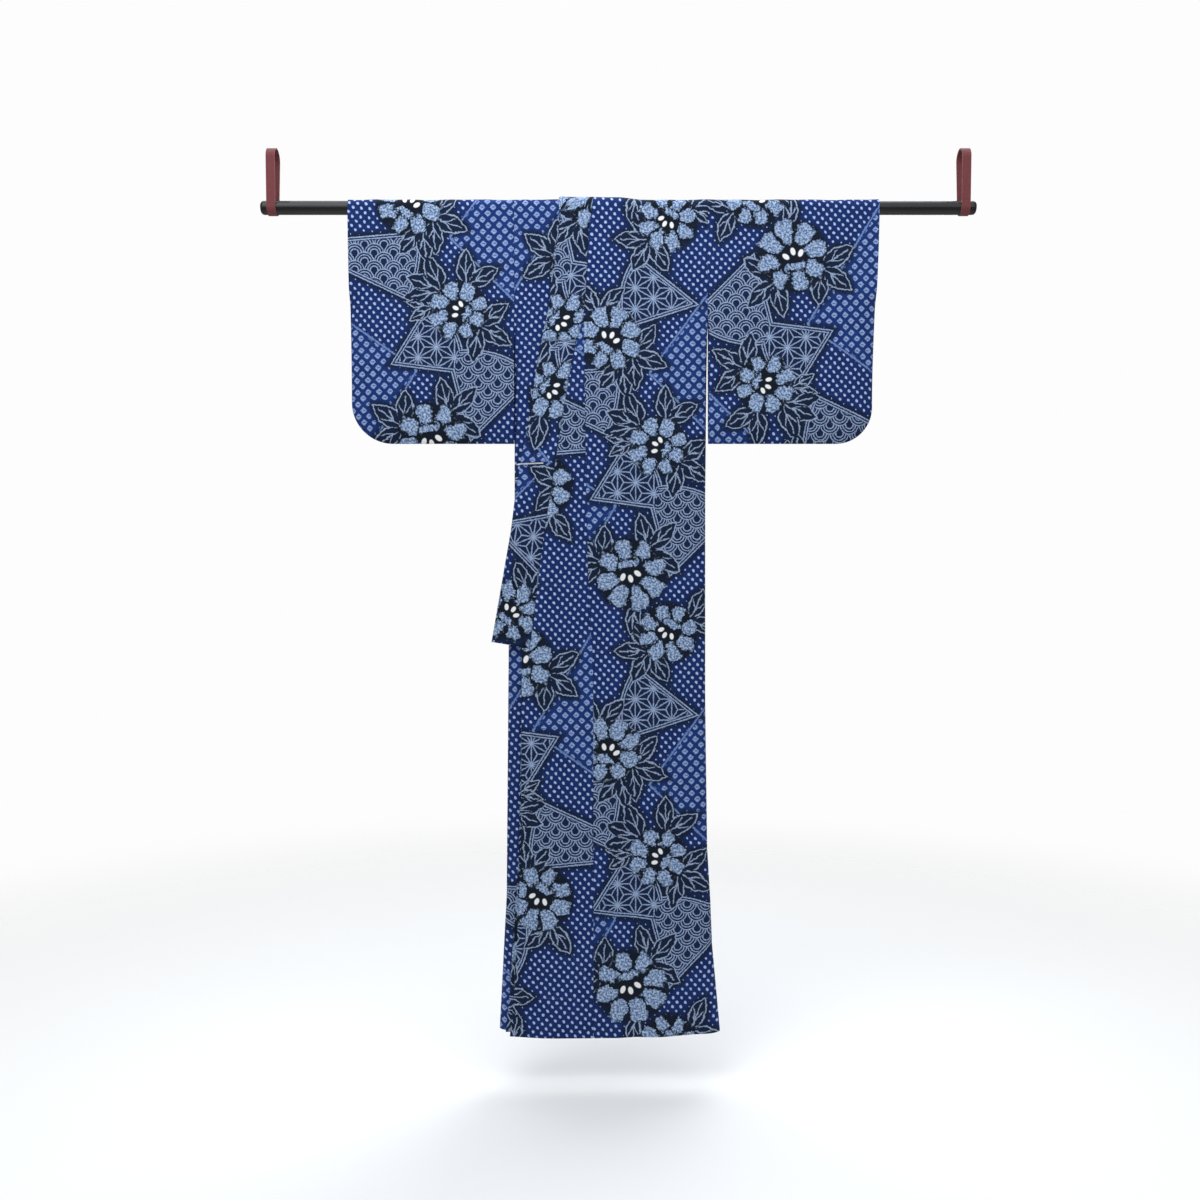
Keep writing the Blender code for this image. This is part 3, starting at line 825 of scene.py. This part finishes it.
def seam_dip(distance):
    """The cloth dips into a seam and stands up a little over its turnings."""
    dip = -SEAM_DEPTH * np.exp(-(distance / 0.0016) ** 2)
    return dip + TURNING * np.exp(-((distance - 0.0075) / 0.0035) ** 2)


def turned_edge(distance):
    """The cloth is double where its edge is turned in and sewn down."""
    return TURNING * (1 - smooth(0.012, 0.0145, distance))


def cut_cloth(name, node, points, places, wall=SEEN_WALL):
    """A grid of cloth, laid out point by point, with its print and its wall."""
    rows, count = points.shape[:2]
    grid = bmesh.new()
    bmesh.ops.create_grid(grid, x_segments=count - 1, y_segments=rows - 1, size=0.5)
    bolt_layer = grid.loops.layers.uv.new("cloth")
    grid_places = {}
    for vertex in grid.verts:
        column = round((vertex.co.x + 0.5) * (count - 1))
        row = round((vertex.co.y + 0.5) * (rows - 1))
        vertex.co = points[row, column]
        grid_places[vertex] = places[row, column]
    for cell in grid.faces:
        for corner in cell.loops:
            corner[bolt_layer].uv = grid_places[corner.vert]
    bmesh.ops.remove_doubles(grid, verts=grid.verts, dist=0.00001)
    bmesh.ops.recalc_face_normals(grid, faces=grid.faces)
    mesh = bpy.data.meshes.new(name)
    grid.to_mesh(mesh)
    grid.free()
    print_on(mesh)
    mesh.shade_smooth()
    mesh.materials.append(cotton)
    piece = in_scene(name, mesh)
    shell = piece.modifiers.new("wall", "SOLIDIFY")
    shell.thickness = wall
    shell.offset = 0.0
    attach(piece, "root")
    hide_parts(node)


def on_bolt(x, run, turn, zero_x, zero_run):
    """Where on the bolt a place of the cloth was cut from, turned or not."""
    return np.stack(np.broadcast_arrays(turn * (x - zero_x), turn * (run - zero_run)), -1)


BODY_STEP = 0.0065
TURN_STEPS = 6
STITCHED_ROW = 2

count = round(HEM_DROP / BODY_STEP)
run = over_rod(HEM_DROP * np.arange(1, count + 1) / count)
drop = drop_of(run)
bend = (lift(1, drop) - lift(0, drop)) / 2
centre = FOLD_X - bend
inner = inner_edge(run)
outer = read(RIGHT_SIDE_EDGE, drop) + HALF_SEAM
inner_x = columns(inner, centre, 6)
turns = np.pi * np.arange(1, TURN_STEPS) / TURN_STEPS
turn_x = centre[:, None] + bend[:, None] * np.sin(turns)
outer_x = columns(centre, outer, 26)
x = np.concatenate((inner_x, turn_x, outer_x), axis=1)
height = np.concatenate((
    np.broadcast_to(lift(1, drop)[:, None], inner_x.shape),
    lift(0, drop)[:, None] + bend[:, None] * (1 + np.cos(turns)),
    np.broadcast_to(lift(0, drop)[:, None], outer_x.shape)), axis=1)
laid_flat = np.concatenate((2 * FOLD_X - inner_x, 0 * turn_x + FOLD_X, outer_x), axis=1)
row = run[:, None]
from_side = x - outer[:, None]
height = height + seam_dip(from_side) * (drop[:, None] > 0) + turned_edge(HEM_DROP - drop[:, None])
points = body_point(x, row, height, side_opened(from_side, drop[:, None]), UNDER_HEM_DROP)
hem_rows = (STITCHED_ROW, -1 - STITCHED_ROW)
sewn_places = [points[hem_row, inner_x.shape[1]::2] for hem_row in hem_rows]
cut_cloth("right_body", "body_right", points, on_bolt(laid_flat, row, 1, FOLD_X, -0.111))


# The left half of the body

# The same cut for the left side, which lies over the pleat and next to the rod
# beside it. At the back its edge lies on the right half's, at the centre seam.

LEFT_SIDE_EDGE = ((0.0, 0.1824), (0.20, 0.1824), (0.60, 0.1784), (1.01, 0.1784),
                  (1.316, 0.1824), (1.418, 0.1886), (1.52, 0.1926), (1.70, 0.2089))
PLEAT_SLOPE = (-0.008, 0.045)
BACK_OVERLAP = 0.030
LAYER_GAP = 0.0003

inner = inner_edge(run)
outer = read(LEFT_SIDE_EDGE, drop) - HALF_SEAM
x = columns(inner, outer, 38)
row = run[:, None]
deep = drop[:, None]
on_pleat = 1 - smooth(*PLEAT_SLOPE, x)
height = mix(lift(0, deep), lift(2, deep), on_pleat)
seam = (1 - smooth(CENTRE_BACK_X, CENTRE_BACK_X + BACK_OVERLAP, x)) * smooth(0.030, 0.070, -row)
height = np.where(row < 0, mix(height, lift(1, deep) + CLOTH_WALL + LAYER_GAP, seam), height)
from_side = outer[:, None] - x
height = height + (seam_dip(from_side) + seam_dip(x - inner[:, None])) * (deep > 0)
height = height + turned_edge(HEM_DROP - deep)
points = body_point(x, row, height, side_opened(from_side, deep))
sewn_places += [points[hem_row, EDGE_COLUMNS:-EDGE_COLUMNS:2] for hem_row in hem_rows]
cut_cloth("left_body", "body_left", points, on_bolt(x, row, 1, 0.0805, 0.515))


# The okumi

# Two narrow panels that widen each front, sewn between it and the collar. The
# left one is on top, and the right one shows a little beyond it at the hem.

OKUMI_COLLAR_SEAM = ((0.231, -0.0713), (0.30, -0.0915), (0.45, -0.1170), (0.56, -0.1345),
                     (0.69, -0.1545), (0.79, -0.1665), (0.9037, -0.1805))
OKUMI_FREE_EDGE = ((0.9037, -0.1970), (1.336, -0.1988), (1.62, -0.2130), (1.70, -0.2212))
COLLAR_END_DROP = 0.9037
OKUMI_FIRST_DROP = 0.2400

# Okumi: piece, node, layer, hem, how far it shows beyond, zero on the bolt
OKUMI = (("right_okumi", "okumi_right", 1, UNDER_HEM_DROP, 0.009, -0.240, 0.930),
         ("left_okumi", "okumi_left", 2, HEM_DROP, 0.0, -0.260, 1.2157))

count = round((HEM_DROP - OKUMI_FIRST_DROP) / BODY_STEP)
run = QUARTER_TURN + np.linspace(OKUMI_FIRST_DROP, HEM_DROP, count + 1)
run = np.sort(np.append(run, QUARTER_TURN + COLLAR_END_DROP + np.array((0.0, 0.0004))))
drop = drop_of(run)
row = run[:, None]
for name, node, layer, hem, shows, zero_x, zero_run in OKUMI:
    seam = read(OKUMI_SEAM, drop) - HALF_SEAM
    free = np.where(drop <= COLLAR_END_DROP + 0.0002, read(OKUMI_COLLAR_SEAM, drop),
                    read(OKUMI_FREE_EDGE, drop)) + HALF_SEAM
    free = free - shows * smooth(COLLAR_END_DROP, HEM_DROP, drop)
    x = columns(seam, free, 16)
    height = lift(layer, drop)[:, None] + seam_dip(seam[:, None] - x)
    sewn = (1 - smooth(COLLAR_END_DROP - 0.02, COLLAR_END_DROP, drop))[:, None]
    height = height + seam_dip(x - free[:, None]) * sewn + turned_edge(HEM_DROP - drop[:, None])
    height = height + turned_edge(x - free[:, None]) * (1 - sewn)
    points = body_point(x, row, height, 1.0, hem)
    sewn_places.append(points[-1 - STITCHED_ROW, EDGE_COLUMNS:-EDGE_COLUMNS])
    sewn_places.append(points[drop > COLLAR_END_DROP + 0.02, -1 - EDGE_COLUMNS][::3])
    cut_cloth(name, node, points, on_bolt(x, row, -1, zero_x, zero_run))


# The collar

# One long doubled band, wider towards its ends. It is folded in half at the
# centre back, so that the left half lies on the right half, and it stands up
# round the neck where it passes over the rod.

COLLAR_TURN_DROP = 0.0125
COLLAR_FREE_END_DROP = 0.8915
COLLAR_FREE_EDGE = ((0.0125, -0.1165), (0.111, -0.1294), (0.213, -0.1431), (0.313, -0.1641),
                    (0.402, -0.1767), (0.580, -0.2089), (0.663, -0.2191), (0.8915, -0.2587))
SEEN_COLLAR_WALL = 0.0014

# Where the over-collar ends, and where it and the collar were cut on the bolt
OVER_COLLAR_RUN = 0.2985
OVER_COLLAR_CUT = (0.041, 0.2576)
COLLAR_CUT = (0.029, 0.3983)

drop = np.linspace(COLLAR_END_DROP, COLLAR_TURN_DROP, 150)
free_drop = drop * COLLAR_FREE_END_DROP / COLLAR_END_DROP
sewn_x = np.where(drop <= OKUMI_TIP_DROP, read(NECK_EDGE, drop), read(OKUMI_COLLAR_SEAM, drop))
hanging = np.stack((sewn_x, drop + QUARTER_TURN, read(COLLAR_FREE_EDGE, free_drop),
                    free_drop + QUARTER_TURN), -1)
free_x = hanging[-1, 2]
free_run = QUARTER_TURN + COLLAR_TURN_DROP
share = np.linspace(1, 0, 10)
fan = np.stack((inner_edge(QUARTER_TURN * share) - HALF_SEAM * (share > 0), QUARTER_TURN * share,
                0 * share + free_x, 0 * share + free_run), -1)
share = np.linspace(0, 1, 14)[1:]
neck = np.stack((mix(NECK_POINT_X, CENTRE_BACK_X, share), NECK_BACK_RUN * share,
                 mix(free_x, CENTRE_BACK_X, share), 0 * share + free_run), -1)
half = np.concatenate((hanging, fan, neck))
steps = np.pi * np.arange(1, 8) / 8
lines = np.concatenate((half, np.repeat(half[-1:], len(steps), axis=0), half[::-1]))
angle = np.concatenate((np.zeros(len(half)), steps, np.full(len(half), np.pi)))[:, None]
middle = np.stack(((lines[:, 0] + lines[:, 2]) / 2, (lines[:, 1] + lines[:, 3]) / 2), -1)
along = np.concatenate(((0,), np.cumsum(np.hypot(*np.diff(middle, axis=0).T))))[:, None]

share = np.linspace(0, 1, 17)[None, :]
x = mix(lines[:, :1] - 2 * HALF_SEAM, lines[:, 2:3], share)
row = mix(lines[:, 1:2] + 2 * HALF_SEAM, lines[:, 3:4], share)
width = np.hypot(lines[:, 2:3] - lines[:, :1], lines[:, 3:4] - lines[:, 1:2])
u = share * width
v = lines[0, 1] - along
deep = drop_of(row)
bend = (lift(2, deep) - lift(1, deep)) / 2
height = lift(1, deep) + bend * (1 + np.cos(angle))
height = height + seam_dip(u) * (deep > 0.02) + 0.0003 * np.cos((share - 0.5) * np.pi)
cut = np.where(v[..., None] < OVER_COLLAR_RUN, OVER_COLLAR_CUT, COLLAR_CUT)
places = np.stack(np.broadcast_arrays(u - cut[..., 0], cut[..., 1] - v), -1)
height = height - 0.0006 * np.exp(-((v - OVER_COLLAR_RUN) / 0.003) ** 2)
cut_cloth("doubled_collar", "collar", body_point(x - bend * np.sin(angle), row, height), places,
          SEEN_COLLAR_WALL)


# The sleeves

# Each is one length over the rod, a flat tube that is open at the cuff above
# and towards the body below the armhole, with its lower corner rounded.

SLEEVE_DROP = 0.4848
SLEEVE_ROUNDING = 0.050
CUFF_DROP = 0.2075
CUFF_CLOSING = 0.0475
ARMHOLE_DROP = 0.2107
SLIT_DROP = 0.2600
SLEEVE_SPACE = ((0.0, 0.0143), (0.21, 0.0115), (0.4848, 0.0079))

# Sleeves: piece, node, x at the shoulder and the cuff, lean of the cuff edge,
# radius of the corner, slit, turn and zero on the bolt, and creases
SLEEVES = (
    ("right_sleeve", "sleeve_right", -0.2130, -0.5535, 0.0062, 0.085, 0.0004, 1, -0.3272, 0.2372,
     ((-0.300, 0.05, -0.330, 0.40, 0.008, 0.0011), (-0.400, 0.10, -0.385, 0.46, 0.009, -0.0010),
      (-0.480, 0.12, -0.500, 0.38, 0.008, 0.0010), (-0.240, 0.22, -0.330, 0.34, 0.009, 0.0009),
      (-0.340, -0.06, -0.320, -0.42, 0.009, 0.0011), (-0.450, -0.10, -0.470, -0.40, 0.008, 0.0010),
      (-0.235, -0.24, -0.300, -0.36, 0.008, -0.0009))),
    ("left_sleeve", "sleeve_left", 0.1824, 0.5331, -0.0120, 0.075, 0.0020, -1, 0.3007, 0.386,
     ((0.250, 0.06, 0.270, 0.42, 0.009, 0.0011), (0.350, 0.08, 0.335, 0.40, 0.008, -0.0010),
      (0.440, 0.10, 0.455, 0.44, 0.009, 0.0011), (0.205, 0.23, 0.290, 0.36, 0.008, 0.0009),
      (0.300, -0.08, 0.315, -0.44, 0.009, 0.0011), (0.420, -0.06, 0.400, -0.40, 0.008, -0.0010),
      (0.480, -0.14, 0.490, -0.36, 0.008, 0.0009))))

for name, node, shoulder, cuff, lean, corner, gap, turn, zero_x, zero_run, creases in SLEEVES:
    outward = math.copysign(1, cuff - shoulder)
    corner_drop = SLEEVE_DROP - corner
    turned_rows = corner_drop + corner * np.sin(np.radians(np.linspace(0, 90, 22)))
    run = over_rod(np.concatenate((np.linspace(0, corner_drop, 66)[1:], turned_rows[1:])))
    drop = drop_of(run)
    depth = np.clip((drop - corner_drop) / corner, 0, 1)
    edge = cuff + lean * smooth(0.0, corner_drop, drop) - outward * corner * (1 - np.sqrt(1 - depth ** 2))
    slit = gap * smooth(ARMHOLE_DROP, SLIT_DROP, drop)
    start = shoulder + outward * (HALF_SEAM + slit)
    x = columns(start, edge, 48)
    row = run[:, None]
    deep = drop[:, None]
    from_edge = np.abs(edge[:, None] - x)
    closing = smooth(CUFF_DROP - CUFF_CLOSING, CUFF_DROP, deep)
    opened = mix(1.0, rounded(from_edge, SLEEVE_ROUNDING), closing)
    opened = opened * rounded(SLEEVE_DROP - deep, SLEEVE_ROUNDING)
    sewn = (1 - smooth(0.19, ARMHOLE_DROP, deep)) * (deep > 0)
    height = lift(0, deep) + seam_dip(np.abs(x - start[:, None])) * sewn
    height = height + turned_edge(from_edge) * (1 - closing)
    points = hang(x, row, height, SLEEVE_SPACE, creased(x, row, creases), opened)
    sewn_places.append(points[(drop > 0.01) & (drop < CUFF_DROP - 0.03), -2 - EDGE_COLUMNS][::3])
    cut_cloth(name, node, points, on_bolt(x, row, turn, zero_x, zero_run))


# The thread

# Hems and cuffs are turned in and held with small blind stitches in navy
# thread. A loose stitch of soft white tacking thread holds the folded collar
# together across its width, about half way down.

STITCH_LENGTH = 0.0022
STITCH_RADIUS = 0.00028
STITCH_STANDS = 0.0005
THREAD_RADIUS = 0.00045
PLY_WAVES = 5200


def thread_finish(name, dark, light):
    made, tree, shader, coordinates = finish_of(name, 0.8)
    x, y, z = parts_of(tree, coordinates.outputs["Object"])
    # Painted shade: the thread's colour goes from the light to the dark colour in the grooves between its
    # plies
    ply_and_painted_shade = ((x + z * 0.6) * PLY_WAVES).made("SINE").times_plus(0.5, 0.5)
    tree.links.new(over(tree, dark, light, ply_and_painted_shade), shader.inputs["Base Color"])
    shader.inputs["Sheen Weight"].default_value = 0.2
    bumped(tree, shader, ply_and_painted_shade, 0.0002)
    return made


def sewn_in(name, data, finish):
    """Puts thread in the robe, in its own finish."""
    data.materials.append(finish)
    piece = in_scene(name, data)
    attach(piece, "root")


sewing = bmesh.new()
for place in np.concatenate(sewn_places):
    outward = -1 if place[1] < 0 else 1
    stitch = bmesh.ops.create_icosphere(sewing, subdivisions=1, radius=1.0)["verts"]
    bmesh.ops.scale(sewing, verts=stitch, vec=(STITCH_LENGTH / 2, STITCH_RADIUS, STITCH_RADIUS))
    bmesh.ops.translate(sewing, verts=stitch, vec=place + (0, outward * STITCH_STANDS, 0))
sewing_mesh = bpy.data.meshes.new("blind_stitches")
sewing.to_mesh(sewing_mesh)
sewing.free()
sewing_mesh.shade_smooth()
sewn_in("blind_stitches", sewing_mesh, thread_finish("navy thread", ink(16, 22, 52), ink(34, 44, 88)))

# The tacking thread goes twice round the folded collar, past its free edge
TACK_DROP = 0.5273
TACK_RUN = QUARTER_TURN + TACK_DROP
TACK_START_X = -0.1529
TACK_END_X = -0.2000

tack = bpy.data.curves.new("tacking_thread", "CURVE")
tack.dimensions = "3D"
tack.bevel_depth = THREAD_RADIUS
tack.bevel_resolution = 2
tack.resolution_u = 6
for strand, offset in enumerate((-0.0009, 0.0006)):
    share = np.linspace(0, 1, 9)
    above = lift(2, TACK_DROP) + 0.0015
    below = lift(1, TACK_DROP) - 0.0013
    bulge = 0.0065 + 0.002 * strand
    front = np.stack((mix(TACK_START_X, TACK_END_X, share), TACK_RUN + offset + 0.0018 * share,
                      above + 0.0004 * np.sin(share * 9 + strand)), -1)
    edge = np.array(((TACK_END_X - 0.7 * bulge, TACK_RUN + offset + 0.0024, mix(above, below, 0.15)),
                     (TACK_END_X - bulge, TACK_RUN + offset + 0.0028, mix(above, below, 0.5)),
                     (TACK_END_X - 0.7 * bulge, TACK_RUN + offset + 0.0022, mix(above, below, 0.85))))
    back = front[::-1] * (1, 1, 0) + (0, 0.0006, below)
    path = np.concatenate((front, edge, back))
    spline = tack.splines.new("NURBS")
    spline.points.add(len(path) - 1)
    places = body_point(path[:, 0], path[:, 1], path[:, 2])
    for point, place in zip(spline.points, places):
        point.co = (*place, 1)
    spline.use_cyclic_u = True
    spline.order_u = 3
sewn_in("tacking_thread", tack, thread_finish("white thread", ink(236, 236, 236), ink(253, 253, 253)))
